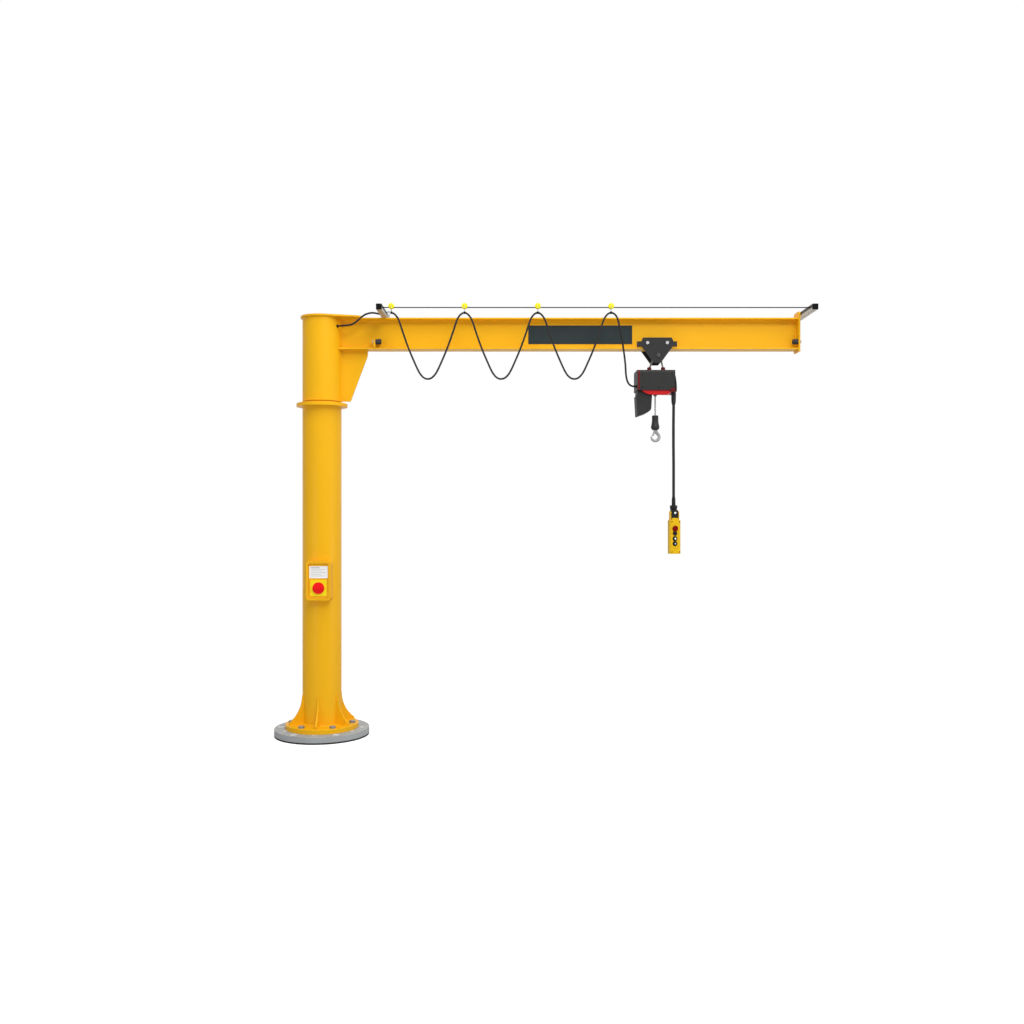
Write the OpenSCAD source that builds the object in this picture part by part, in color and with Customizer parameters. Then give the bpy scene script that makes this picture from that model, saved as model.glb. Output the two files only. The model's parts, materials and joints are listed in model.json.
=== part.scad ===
// Pillar-mounted jib crane with an electric chain hoist.
// Millimetres, +Z up. The origin is the centre of the foot's underside on the
// floor, the jib reaches along +X and the switch box faces -Y.

/* [Pillar] */
// Outside diameter of the pillar tube and of the slewing sleeve
column_d = 273; // [260:1:285]
// Wall of the pillar tube
column_wall = 10; // [8:1:12]
// Height of the top of the pillar tube
column_top = 2322; // [2250:1:2340]
// Diameter of the grey ground plate
ground_d = 664; // [650:1:700]
// Thickness of the grey ground plate
ground_t = 42; // [30:1:50]
// Thickness of the dark levelling layer
seal_t = 10; // [6:1:14]
// Diameter of the yellow foot flange
foot_d = 510; // [502:1:525]
// Thickness of the yellow foot flange
foot_t = 32; // [20:1:40]
// Height of the foot gussets above the flange
gusset_h = 206; // [160:1:240]
// Thickness of the foot gussets
gusset_t = 12; // [8:1:16]

/* [Anchoring] */
// Pitch circle of the six anchor holes
anchor_pcd = 584; // [570:1:600]
// Diameter of the anchor holes
anchor_d = 52; // [40:1:54]
// Pitch circle of the six spare holes
spare_pcd = 540; // [530:1:560]
// Diameter of the spare holes
spare_d = 40; // [30:1:44]
// Pitch circle of the six foot bolts
bolt_pcd = 430; // [410:1:450]
// Diameter of the foot bolt holes
bolt_d = 30; // [26:1:33]

/* [Jib] */
// Height of the I-beam
beam_h = 222; // [200:1:240]
// Width of the I-beam's flanges
beam_w = 112; // [100:1:112]
// Thickness of the flanges
beam_tf = 10.5; // [8:0.5:12]
// Thickness of the web
beam_tw = 6; // [5:0.5:8]
// Reach of the beam's outer end
beam_end = 3368; // [3200:1:3600]
// Height of the beam's top face
beam_top = 2948; // [2940:1:2960]
// Width of the end plate
end_w = 124; // [122:1:140]

/* [Cable line] */
// Reach of the two C-rail arms to the front
arm_reach = 350; // [320:1:380]
// Size of the arms' square section
arm_s = 38; // [34:1:42]
// Diameter of the flat-lying supply cable
cable_d = 13; // [9:0.5:16]

/* [Hoist] */
// Width of the hoist housing
hoist_w = 200; // [180:1:220]
// Diameter of the control cable
control_d = 20; // [14:0.5:22]
// Length of the hanging control pendant
pendant_h = 238; // [220:1:260]

/* [Hidden] */
$fn = 64;
cr = column_d / 2;
seat = 0.3;
run = 0.05;
z_ground = seal_t + ground_t;
z_foot = z_ground + foot_t;
z_gusset = z_foot + gusset_h;
collar_t = 24;
z_collar = column_top + collar_t;
slew_gap = 14;
z_sleeve = z_collar + slew_gap;
sleeve_ri = cr - 12;
post_r = 70;
z_post = beam_top - 23;
beam_bot = beam_top - beam_h;
cap_t = 12;
end_t = 12;
end_x = beam_end + end_t;
end_top = beam_top + 45;
end_bot = beam_bot - 16;
collar_r = 178.5;
cap_r = 150;
cap_x = 262;
cap_end = 285;
cap_end_y = 84;
hole_z = beam_top - 62;
hole_turn = -28.4;
gusset_x = 325;
gusset_low_x = 203;
plate_gap = 2;
stop_x = 373;
stop_t = 13;
stop_y = 62;
stop_h = 60;
buffer_r = 19;
buffer_y = 42.5;
buffer_l = 39;
buffer_end_l = 36;
buffer_z = beam_bot + 54;
sign_x = 1465;
sign_w = 737;
sign_h = 132;
sign_z = beam_bot + 44;
// cable line
wire_y = -257;
wire_z = beam_top + 30;
arm1_x = 430;
loop_z = beam_top - 6;
carrier_x = [523, 1024.5, 1526, 2027.5];
cable_r = cable_d / 2;
clamp_r = cable_r + 4;
wire_r = 3.5;
// trolley
tx = 2372;
plate_in = 60;
plate_t = 8;
plate_out = plate_in + plate_t;
axle_z = beam_bot + beam_tf + 32;
axle_dx = 69.5;
pin_x = 2380;
bail_r = 24;
bail_foot = 49;
pin_z = beam_bot - 45;
// hoist
hoist_x = 2245;
hoist_top = beam_bot - 150;
hoist_h = 143;
hoist_round = 18;
hoist_l = 248;
seam_t = 14;
hoist_bot = hoist_top - hoist_h;
hy = hoist_w / 2;
chain_x = hoist_x + 121;
block_top = hoist_bot - 170;
hook_z = block_top - 152;
// pendant
px = hoist_x + 242.5;
py = -58;
pend_turn = 12;
pend_drop = 911;
pend_top = hoist_bot - pend_drop;
pend_w = 76;
pend_side = 4;
key_side = -2;
pend_d = 62;
button_z = [pend_top - 60, pend_top - 94.5, pend_top - 131, pend_top - 166];
// switch box
sx = 9;
sz = 1051;
box_z = 1101;
box_w = 175;
box_h = 276;
box_y = -176;
box_rim = 12;
box_rim_w = 16;

// ---------- helpers ----------
module ring6(r, a0 = 0) {
  for (i = [0:5]) rotate([0, 0, a0 + i * 60]) translate([r, 0, 0]) children();
}

// tube swept along a row of points, with vertical rings kept square to it
function unit(v) = v / norm(v);
function dirs(p) = [for (i = [0:len(p) - 1])
  unit(p[min(i + 1, len(p) - 1)] - p[max(i - 1, 0)])];
function side(d) = abs(d[1]) > 0.9 ? [1, 0, 0] : unit(cross(d, [0, 1, 0]));
function ring(c, d, r, n) = [for (k = [0:n - 1])
  c + r * (cos(k * 360 / n) * side(d) + sin(k * 360 / n) * cross(d, side(d)))];
function flat(a) = [for (b = a) for (c = b) c];
function tube_points(p, r, n) = let(d = dirs(p))
  flat([for (i = [0:len(p) - 1]) ring(p[i], d[i], r, n)]);
function tube_faces(m, n) = concat(
  [[for (k = [0:n - 1]) k]],
  [for (i = [0:m - 2]) for (k = [0:n - 1])
    [i * n + k, (i + 1) * n + k, (i + 1) * n + (k + 1) % n, i * n + (k + 1) % n]],
  [[for (k = [n - 1:-1:0]) (m - 1) * n + k]]);
module swept(p, r, n = 8) {
  polyhedron(points = tube_points(p, r, n), faces = tube_faces(len(p), n));
}

// routes of the free cables, as points that the cable's middle follows
supply_shape = [[118, -64, -62], [135, -73, -62], [155, -82, -62],
  [180, -90, -62], [203, -96, -61], [225, -101, -57], [245, -104, -48],
  [264, -106, -34], [283, -107, -18], [302, -108, -2], [322, -108, 11],
  [343, -108, 19], [366, -108, 23], [388, -108, 22], [409, -108, 18],
  [arm1_x - 1, -108, 14]];
loop_shape = [[4, 0, 0], [14, -4, 2.5], [25, -12, 5.5], [36, -24.5, 8],
  [47, -42, 9], [60, -76, 9], [78, -132, 9], [120, -250, 9], [168, -362, 8],
  [188, -403, 7], [204, -427, 6], [221, -443.5, 4], [239, -452, 1.5],
  [262, -452, -1.5], [280, -443.5, -4], [297, -427, -6], [313, -403, -7],
  [333, -362, -8], [381, -250, -9], [423, -132, -9], [441, -76, -9],
  [454, -42, -9], [465, -24.5, -8], [476, -12, -5.5], [487, -4, -2.5],
  [497.5, 0, 0]];
last_shape = [[2031, -257, 216], [2041, -257, 213], [2052, -257, 206],
  [2062, -257, 195], [2070, -257, 180], [2077, -257, 158], [2085, -256, 124],
  [2094, -251, 84], [2103, -240, 38], [2115, -222, -21], [2125, -200, -72],
  [2134, -174, -122], [2139, -152, -157], [2144, -130, -190],
  [2151, -111, -217], [2162, -93, -240], [2177, -77, -255],
  [2195, -64, -262], [2212, -55, -263], [2229, -52, -263]];
control_shape = [[0, 0, -100], [0, 0, -133], [-0.5, 0, -183], [-1, 0, -243],
  [-1, 0, -313], [-1, 0, -383], [-0.5, 0, -453], [0, 0, -523], [0, 0, -593],
  [0, 0, -653], [0, 0, -703], [0, 0, -747]];
supply_path = [for (q = supply_shape) [q[0], q[1], beam_top + q[2]]];
last_path = [for (q = last_shape) [q[0], q[1], beam_bot + q[2]]];
control_path = [for (q = control_shape) [px + q[0], py, hoist_bot + q[2]]];
function loop_path(k) = [for (q = loop_shape)
  [carrier_x[k] + q[0], wire_y + q[2], loop_z + q[1]]];

// ---------- pillar ----------
module floor_seal() {
  color([0.1, 0.1, 0.1])
  difference() {
    cylinder(r = ground_d / 2 - 1, h = seal_t);
    translate([0, 0, -1]) {
      ring6(anchor_pcd / 2) cylinder(d = anchor_d, h = seal_t + 2);
      ring6(spare_pcd / 2, 30) cylinder(d = spare_d, h = seal_t + 2);
    }
  }
}

module ground_plate() {
  color([0.6, 0.62, 0.64])
  difference() {
    union() {
      translate([0, 0, seal_t + 2]) cylinder(r = ground_d / 2, h = ground_t - 4);
      translate([0, 0, seal_t]) cylinder(r1 = ground_d / 2 - 2, r2 = ground_d / 2, h = 2);
      translate([0, 0, z_ground - 2]) cylinder(r1 = ground_d / 2, r2 = ground_d / 2 - 2, h = 2);
    }
    translate([0, 0, seal_t - 1]) {
      ring6(anchor_pcd / 2) cylinder(d = anchor_d, h = ground_t + 2);
      ring6(spare_pcd / 2, 30) cylinder(d = spare_d, h = ground_t + 2);
      ring6(bolt_pcd / 2) cylinder(d = bolt_d - 2, h = ground_t + 2);
    }
  }
}

module foot_gusset() {
  r0 = cr + 9;
  arc = 234;
  rotate([90, 0, 0])
  translate([0, 0, -gusset_t / 2])
  linear_extrude(height = gusset_t)
  difference() {
    polygon([[cr - 8, z_foot - 1], [240, z_foot - 1], [240, z_foot + 12],
      [r0 + arc, z_gusset], [cr - 8, z_gusset]]);
    translate([r0 + arc, z_gusset]) circle(r = arc, $fn = 96);
  }
}

module foot() {
  color([0.94, 0.66, 0.1])
  difference() {
    union() {
      translate([0, 0, z_ground]) cylinder(r = foot_d / 2, h = foot_t - 2);
      translate([0, 0, z_foot - 2]) cylinder(r1 = foot_d / 2, r2 = foot_d / 2 - 2, h = 2);
      for (i = [0:5]) rotate([0, 0, 30 + i * 60]) foot_gusset();
    }
    cylinder(r = cr + seat, h = z_gusset + 10);
    translate([0, 0, z_ground - 1]) ring6(bolt_pcd / 2) cylinder(d = bolt_d, h = foot_t + 2);
  }
}

module column_tube() {
  color([0.94, 0.66, 0.1])
  translate([0, 0, z_ground])
  difference() {
    cylinder(r = cr, h = column_top - z_ground);
    translate([0, 0, -1]) cylinder(r = cr - column_wall, h = column_top);
  }
}

module collar() {
  color([0.94, 0.66, 0.1])
  translate([0, 0, column_top])
  difference() {
    union() {
      cylinder(r1 = collar_r - 1.5, r2 = collar_r, h = 1.5);
      translate([0, 0, 1.5]) cylinder(r = collar_r, h = collar_t - 3);
      translate([0, 0, collar_t - 1.5]) cylinder(r1 = collar_r, r2 = collar_r - 1.5, h = 1.5);
    }
    translate([0, 0, -1]) cylinder(r = post_r - 15, h = collar_t + 2);
  }
}

module pivot_post() {
  color([0.94, 0.66, 0.1])
  translate([0, 0, z_collar])
  difference() {
    union() {
      cylinder(r = 128, h = slew_gap - 2);
      cylinder(r = 100, h = slew_gap + 2);
      cylinder(r = post_r, h = z_post - z_collar);
    }
    translate([0, 0, -1]) cylinder(r = post_r - 15, h = z_post);
  }
}

// ---------- main switch ----------
module round_rect(w, h, r) {
  translate([-w / 2 + r, -h / 2]) square([w - 2 * r, h]);
  translate([-w / 2, -h / 2 + r]) square([w, h - 2 * r]);
  for (i = [-1, 1]) for (j = [-1, 1])
    translate([i * (w / 2 - r), j * (h / 2 - r)]) circle(r = r);
}

module switch_box() {
  color([0.94, 0.66, 0.1])
  difference() {
    translate([sx, 0, box_z]) rotate([90, 0, 0]) {
      translate([0, 0, 90]) linear_extrude(height = -box_y - 90) round_rect(box_w, box_h, 24);
      translate([0, 0, -box_y - 1]) linear_extrude(height = box_rim + 1) difference() {
        round_rect(box_w - 4, box_h - 4, 22);
        round_rect(box_w - 4 - 2 * box_rim_w, box_h - 4 - 2 * box_rim_w, 12);
      }
    }
    translate([0, 0, box_z - box_h]) cylinder(r = cr + seat, h = 2 * box_h);
    translate([sx, box_y - 8, sz]) rotate([-90, 0, 0]) cylinder(r = 12 + run, h = 30);
  }
}

module label_panel() {
  color([0.92, 0.92, 0.9])
  translate([sx - 64, box_y - 2, box_z + 18]) cube([128, 2, 84]);
}

module switch_plate() {
  color([0.98, 0.82, 0.1])
  difference() {
    translate([sx - 56.5, box_y - 3.5, box_z - 106]) cube([113, 3.5, 111]);
    translate([sx, box_y - 8, sz]) rotate([-90, 0, 0]) cylinder(r = 12 + run, h = 30);
  }
}

module switch_knob() {
  color([0.86, 0.08, 0.08])
  translate([sx, box_y - 4, sz]) rotate([90, 0, 0]) {
    difference() {
      union() {
        cylinder(r = 40.5, h = 12);
        translate([0, 0, 12]) cylinder(r1 = 40.5, r2 = 37, h = 4);
      }
      translate([-60, 11, 7]) cube([120, 40, 20]);
      translate([-60, -51, 7]) cube([120, 40, 20]);
    }
    translate([0, 0, 6]) cylinder(r = 39, h = 2);
    translate([0, 0, -18]) cylinder(r = 12, h = 19);
  }
}

// ---------- jib ----------
module sleeve() {
  color([0.94, 0.66, 0.1])
  difference() {
    translate([0, 0, z_sleeve]) cylinder(r = cr, h = beam_top - z_sleeve);
    translate([0, 0, z_sleeve - 1]) cylinder(r = sleeve_ri, h = beam_top - z_sleeve + 2);
    translate([0, 0, hole_z]) rotate([0, 0, hole_turn]) rotate([0, 90, 0])
      cylinder(r = cable_r + seat, h = 200);
  }
}

module slew_bearings() {
  color([0.55, 0.55, 0.57]) {
    translate([0, 0, z_sleeve + 12]) difference() {
      cylinder(r = sleeve_ri, h = 40);
      translate([0, 0, -1]) cylinder(r = post_r + run, h = 42);
    }
    difference() {
      translate([0, 0, z_post - 55]) cylinder(r = sleeve_ri, h = 67);
      translate([0, 0, z_post - 56]) cylinder(r = post_r + run, h = 56 + seat);
    }
  }
}

module cap_plate() {
  color([0.94, 0.66, 0.1])
  translate([0, 0, beam_top]) {
    cylinder(r = cap_r, h = cap_t, $fn = 96);
    linear_extrude(height = cap_t)
      polygon([[cap_r * 0.27, cap_r * 0.95], [cap_x, cap_end_y],
        [cap_end, cap_end_y - 20], [cap_end, 20 - cap_end_y],
        [cap_x, -cap_end_y], [cap_r * 0.27, -cap_r * 0.95]]);
  }
}

module beam_root(sy, z, sz2) {
  // one rounded inner corner between web and flange
  translate([sy * beam_tw / 2, z]) difference() {
    translate([sy > 0 ? -0.5 : -11.5, sz2 > 0 ? -0.5 : -11.5]) square([12, 12]);
    translate([sy * 12, sz2 * 12]) circle(r = 12, $fn = 32);
  }
}

module beam_section() {
  translate([-beam_w / 2, beam_bot]) square([beam_w, beam_tf]);
  translate([-beam_w / 2, beam_top - beam_tf]) square([beam_w, beam_tf]);
  translate([-beam_tw / 2, beam_bot + 1]) square([beam_tw, beam_h - 2]);
  for (s = [-1, 1]) {
    beam_root(s, beam_bot + beam_tf, 1);
    beam_root(s, beam_top - beam_tf, -1);
  }
}

module jib_beam() {
  color([0.94, 0.66, 0.1])
  difference() {
    translate([100, 0, 0]) rotate([90, 0, 90])
      linear_extrude(height = beam_end - 100) beam_section();
    translate([0, 0, beam_bot - 10]) cylinder(r = cr + seat, h = beam_h + 20);
  }
}

module gusset_plate() {
  color([0.94, 0.66, 0.1])
  difference() {
    translate([0, 7.5, 0]) rotate([90, 0, 0]) linear_extrude(height = 15)
      polygon([[cr - 26, z_sleeve + plate_gap], [gusset_low_x, z_sleeve + plate_gap],
        [gusset_x - 4, beam_bot - 50], [gusset_x, beam_bot - 32],
        [gusset_x, beam_bot], [cr - 26, beam_bot]]);
    translate([0, 0, z_sleeve - 50]) cylinder(r = cr + seat, h = beam_h + 600);
  }
}

module end_plate() {
  color([0.94, 0.66, 0.1])
  translate([beam_end, 0, 0]) rotate([90, 0, 90]) linear_extrude(height = end_t)
    polygon([[-end_w / 2, end_bot], [end_w / 2, end_bot],
      [end_w / 2, end_top - 14], [end_w / 2 - 14, end_top],
      [-end_w / 2 + 14, end_top], [-end_w / 2, end_top - 14]]);
}

module inner_stop() {
  color([0.94, 0.66, 0.1])
  for (s = [-1, 1]) {
    translate([stop_x, s > 0 ? beam_tw / 2 : -stop_y, beam_bot + beam_tf])
      difference() {
        cube([stop_t, stop_y - beam_tw / 2, stop_h]);
        translate([-1, s > 0 ? -1 : stop_y - 17, -1])
          cube([stop_t + 2, 17 - beam_tw / 2, 17]);
      }
  }
}

module buffers() {
  color([0.12, 0.12, 0.13])
  for (s = [-1, 1]) {
    translate([stop_x + stop_t, s * buffer_y, buffer_z]) rotate([0, 90, 0])
      cylinder(r = buffer_r, h = buffer_l);
    translate([beam_end - buffer_end_l, s * buffer_y, buffer_z]) rotate([0, 90, 0])
      cylinder(r = buffer_r, h = buffer_end_l);
  }
}

module c_rail(x) {
  difference() {
    translate([x, -arm_reach + 12, beam_top]) cube([arm_s, arm_reach + 44, arm_s]);
    translate([x + 3, -arm_reach, beam_top + 3]) cube([arm_s - 6, arm_reach + 80, arm_s - 6]);
    translate([x + arm_s / 2 - 8, -arm_reach, beam_top + arm_s - 5])
      cube([16, arm_reach + 80, 10]);
    for (i = [0:8]) translate([x + arm_s / 2, -arm_reach + 34 + i * 28, beam_top - 1])
      cylinder(r = 5.5, h = 6, $fn = 24);
  }
}

module arm_inner() {
  color([0.62, 0.62, 0.6]) c_rail(arm1_x);
}

module arm_outer() {
  color([0.62, 0.62, 0.6]) c_rail(end_x);
}

module arm_caps() {
  color([0.1, 0.1, 0.1])
  for (x = [arm1_x, end_x]) {
    translate([x, -arm_reach, beam_top]) cube([arm_s, 12, arm_s]);
    translate([x + 3.3, -arm_reach + 11, beam_top + 3.3]) cube([arm_s - 6.6, 14, arm_s - 9]);
  }
}

module arm_clip() {
  color([0.82, 0.83, 0.83])
  difference() {
    translate([arm1_x + arm_s + 2, -56, beam_top]) cube([16, 16, 48]);
    translate([arm1_x + arm_s + 5, -57, beam_top + 18]) cube([10, 18, 20]);
  }
}

module festoon_wire() {
  color([0.25, 0.25, 0.27])
  translate([arm1_x + arm_s, wire_y, wire_z]) rotate([0, 90, 0]) {
    cylinder(r = wire_r, h = end_x - arm1_x - arm_s, $fn = 16);
    cylinder(r = wire_r + 1.5, h = 6);
    translate([0, 0, end_x - arm1_x - arm_s - 6]) cylinder(r = wire_r + 1.5, h = 6);
  }
}

// roller ball on the wire with its hanger and cable clamp
module carrier(x) {
  translate([x, wire_y, 0]) {
    difference() {
      union() {
        translate([0, 0, wire_z + 9]) rotate([90, 0, 0]) {
          translate([0, 0, -10]) cylinder(r = 20.5, h = 20);
          translate([0, 0, -13]) cylinder(r1 = 16, r2 = 20.5, h = 3);
          translate([0, 0, 10]) cylinder(r1 = 20.5, r2 = 16, h = 3);
        }
        translate([-5, -4, loop_z + 4]) cube([10, 8, wire_z - loop_z - 12]);
        translate([-7, -clamp_r, loop_z - clamp_r]) cube([14, 2 * clamp_r, 2 * clamp_r]);
      }
      translate([-40, 0, wire_z]) rotate([0, 90, 0]) cylinder(r = wire_r + seat, h = 80, $fn = 24);
      translate([-40, 0, loop_z - 0.8]) rotate([0, 90, 0])
        cylinder(r = cable_r + 1.6, h = 80, $fn = 24);
    }
  }
}

module carrier_0() {
  color([0.97, 0.85, 0.1]) carrier(carrier_x[0]);
}
module carrier_1() {
  color([0.97, 0.85, 0.1]) carrier(carrier_x[1]);
}
module carrier_2() {
  color([0.97, 0.85, 0.1]) carrier(carrier_x[2]);
}
module carrier_3() {
  color([0.97, 0.85, 0.1]) carrier(carrier_x[3]);
}

module sign_panel() {
  color([0.2, 0.24, 0.28])
  translate([sign_x, -beam_tw / 2 - 2.3, sign_z]) cube([sign_w, 2, sign_h]);
}

module supply_cable() {
  color([0.12, 0.12, 0.13]) swept(supply_path, cable_r);
}
module loop_1() {
  color([0.12, 0.12, 0.13]) swept(loop_path(0), cable_r);
}
module loop_2() {
  color([0.12, 0.12, 0.13]) swept(loop_path(1), cable_r);
}
module loop_3() {
  color([0.12, 0.12, 0.13]) swept(loop_path(2), cable_r);
}
module loop_4() {
  color([0.12, 0.12, 0.13]) swept(last_path, cable_r);
}

// ---------- trolley ----------
module trolley_outline() {
  translate([0, beam_bot])
  polygon([[-101, 80], [101, 80], [113, 53], [138.5, 53], [138.5, 15],
    [107, 15], [30, -91], [22, -98], [-22, -98], [-30, -91], [-107, 15],
    [-144, 15], [-144, 53], [-113, 53]]);
}

module trolley_plate(y0) {
  difference() {
    translate([tx, y0 + plate_t, 0]) rotate([90, 0, 0])
      linear_extrude(height = plate_t) trolley_outline();
    for (s = [-1, 1]) translate([tx + s * axle_dx, y0 - 1, axle_z]) rotate([-90, 0, 0])
      cylinder(r = 8.2, h = plate_t + 2);
    translate([pin_x, y0 - 1, pin_z]) rotate([-90, 0, 0]) cylinder(r = 13.6, h = plate_t + 2);
  }
}

module trolley_plate_front() {
  color([0.24, 0.24, 0.25]) trolley_plate(-plate_out);
}
module trolley_plate_back() {
  color([0.24, 0.24, 0.25]) trolley_plate(plate_in);
}

module trolley_spindles() {
  color([0.8, 0.8, 0.8])
  for (s = [-1, 1]) for (i = [-1, 1])
    translate([tx + i * axle_dx, 0, axle_z]) rotate([s * -90, 0, 0]) {
      translate([0, 0, 20]) cylinder(r = 8, h = plate_out + 2 - 20);
      translate([0, 0, plate_out]) cylinder(r = 11, h = 8);
      translate([0, 0, 53]) cylinder(r = 14, h = plate_in - 53);
    }
}

module trolley_wheels() {
  color([0.35, 0.35, 0.36])
  for (s = [-1, 1]) for (i = [-1, 1])
    translate([tx + i * axle_dx, 0, axle_z]) rotate([s * -90, 0, 0])
      difference() {
        translate([0, 0, 22]) cylinder(r = 31.7, h = 30);
        translate([0, 0, 21]) cylinder(r = 8 + run, h = 32);
      }
}

module bail_pin() {
  color([0.22, 0.22, 0.23])
  translate([pin_x, 0, pin_z]) rotate([90, 0, 0]) {
    translate([0, 0, -plate_out - 6]) cylinder(r = 13.3, h = 2 * plate_out + 12);
    for (s = [-1, 1]) translate([0, 0, s * 40 - 19.7]) cylinder(r = 18, h = 39.4);
  }
}

// round-bar bail: two legs that lean out and a half ring over the pin
module bail_leg(s) {
  top = [pin_x - 1 + s * bail_r, 0, pin_z - 4];
  low = [tx + 1 + s * bail_foot, 0, hoist_top + 20];
  d = low - top;
  translate(top) rotate([0, acos(d[2] / norm(d)) * (s > 0 ? 1 : -1), 0])
    cylinder(r = 6.5, h = norm(d) + 10);
  translate(top) sphere(r = 7.2, $fn = 32);
}
module bail() {
  color([0.6, 0.61, 0.62]) {
    difference() {
      translate([pin_x - 1, 0, pin_z - 4]) rotate([90, 0, 0])
        rotate_extrude() translate([bail_r, 0]) circle(r = 6.5, $fn = 32);
      translate([pin_x - 76, -20, pin_z - 61]) cube([150, 40, 57]);
    }
    bail_leg(1);
    bail_leg(-1);
  }
}

module bail_collars() {
  color([0.5, 0.06, 0.08])
  for (s = [-1, 1]) translate([tx + 1 + s * bail_foot, 0, hoist_top]) difference() {
    union() {
      cylinder(r = 15, h = 24);
      translate([0, 0, 24]) cylinder(r1 = 15, r2 = 12.5, h = 5);
    }
    translate([0, 0, 8]) cylinder(r = 11.2, h = 30);
  }
}

// ---------- hoist ----------
module hoist_side() {
  // profile across the hoist with its rounded upper edges
  translate([-hy, hoist_bot]) square([hoist_w, hoist_h - hoist_round]);
  translate([hoist_round - hy, hoist_top - 40]) square([hoist_w - 2 * hoist_round, 40]);
  for (s = [-1, 1]) translate([s * (hy - hoist_round), hoist_top - hoist_round])
    circle(r = hoist_round);
}

module hoist_housing() {
  color([0.24, 0.24, 0.25])
  difference() {
    translate([hoist_x, 0, 0]) rotate([90, 0, 90]) linear_extrude(height = hoist_l) hoist_side();
    // shallow panel joint by the right end, over the red corner's seat
    translate([hoist_x + 239, -hy - 1, hoist_bot + 10]) cube([2, 3, 109]);
    translate([hoist_x + 216.5, -hy - 2, hoist_bot - 1]) cube([40, 8, 15.5]);
    translate([chain_x, 0, hoist_bot - 1]) cylinder(r = 13, h = 8);
  }
}

// dark red joint by the left cover and the corner piece at the lower right
module hoist_seam() {
  color([0.45, 0.05, 0.07]) {
    translate([hoist_x - seam_t, 0, 0]) rotate([90, 0, 90])
      linear_extrude(height = seam_t) hoist_side();
    translate([hoist_x + 217, -hy - 1, hoist_bot - 14]) cube([31, 6.5, 28]);
    translate([hoist_x + 217, -hy + 2, hoist_bot - 14]) cube([31, hoist_w - 4, 14]);
  }
}

module hoist_cover_left() {
  color([0.28, 0.28, 0.29])
  difference() {
    translate([hoist_x - seam_t - 4, 0, 0]) rotate([90, 0, 90])
      linear_extrude(height = 4) hoist_side();
    translate([hoist_x - seam_t - 5, -52, beam_bot - 263]) rotate([0, 90, 0])
      cylinder(r = cable_r + 1.2, h = 10);
  }
}

module hoist_cover_right() {
  color([0.2, 0.2, 0.21])
  translate([hoist_x, hy - 12, hoist_bot]) rotate([90, 0, 0]) linear_extrude(height = hoist_w - 24)
    polygon([[248, -14], [260, -9], [261, 17], [259, 57],
      [253, 97], [248, 112]]);
}

// moulded tray under the hoist, deepest behind its front edge
module hoist_underside() {
  color([0.82, 0.1, 0.1])
  difference() {
    intersection() {
      translate([hoist_x, hy - 20, hoist_bot]) rotate([90, 0, 0])
        linear_extrude(height = hoist_w - 30)
        polygon([[13, 0], [30, -14], [55, -26], [80, -31.5], [107, -33],
          [190, -33], [205, -26], [216.5, -21], [216.5, 0]]);
      translate([hoist_x, 0, hoist_bot]) rotate([90, 0, 90]) linear_extrude(height = 240)
        polygon([[-90, 0], [80, 0], [80, -12], [-70, -33], [-85, -33], [-90, -27]]);
    }
    translate([chain_x, 0, hoist_bot - 43]) cylinder(r = 13, h = 60);
    translate([hoist_x - 35, -76, hoist_bot - 53]) cube([125, 132, 60]);
  }
}

module chain_bag() {
  color([0.23, 0.23, 0.24])
  translate([hoist_x, 55, hoist_bot]) rotate([90, 0, 0]) linear_extrude(height = 130)
    polygon([[-14, 0], [89, 0], [89, -36], [83.5, -124], [81, -134],
      [75, -142], [46, -159], [12, -170.5], [-8, -178.5], [-12, -178.5],
      [-14.5, -175], [-22, -40], [-22, -36], [-14, -30]]);
}

module control_relief() {
  color([0.13, 0.13, 0.14])
  translate([px, py, 0]) {
    translate([0, 0, hoist_bot - 81]) cylinder(r1 = 15.5, r2 = 17.5, h = 67);
    translate([0, 0, hoist_bot - 100]) cylinder(r1 = control_d / 2 + 1.5, r2 = 15.5, h = 19);
  }
}

module control_cable() {
  color([0.12, 0.12, 0.13]) swept(control_path, control_d / 2, 10);
}

// ---------- pendant, in its own turned frame ----------
module pend() {
  translate([px, py, 0]) rotate([0, 0, pend_turn]) children();
}

module pendant_neck() {
  color([0.13, 0.13, 0.14])
  pend() {
    translate([0, 0, pend_top + 145]) cylinder(r1 = 13, r2 = control_d / 2 + 0.5, h = 19);
    translate([0, 0, pend_top + 102]) cylinder(r1 = 14, r2 = 13, h = 43.5);
    translate([0, 0, pend_top + 84]) cylinder(r = 26, h = 19);
    translate([0, 0, pend_top + 68]) cylinder(r1 = 21.5, r2 = 26, h = 16.1);
    translate([-21.5, -31, pend_top + 14]) cube([43, 45, 55]);
    translate([0, -30, pend_top + 50]) rotate([90, 0, 0]) cylinder(r = 9, h = 3);
  }
}

module pendant_guard() {
  color([0.9, 0.68, 0.08])
  pend() for (s = [-1, 1]) {
    translate([s * 29.5 - 2.5, 0, pend_top]) rotate([90, 0, 90]) linear_extrude(height = 5) {
      translate([-26, 0]) square([32, 48]);
      translate([-10, 48]) circle(r = 16);
    }
  }
}

module pendant_body() {
  color([0.93, 0.7, 0.06])
  pend() difference() {
    union() {
      translate([pend_side, 0, pend_top - pendant_h]) {
        linear_extrude(height = pendant_h) round_rect(pend_w, pend_d, 9);
        translate([0, 0, 6]) linear_extrude(height = pendant_h - 12)
          round_rect(pend_w + 4, pend_d - 16, 7);
      }
      translate([-22, -31, pend_top - 1]) cube([44, 45, 15]);
    }
    for (i = [0:3])
      translate([key_side, -pend_d / 2 - 1, button_z[i]]) rotate([-90, 0, 0])
        cylinder(r = i == 0 ? 9.5 : 12.5, h = 21);
  }
}

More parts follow.
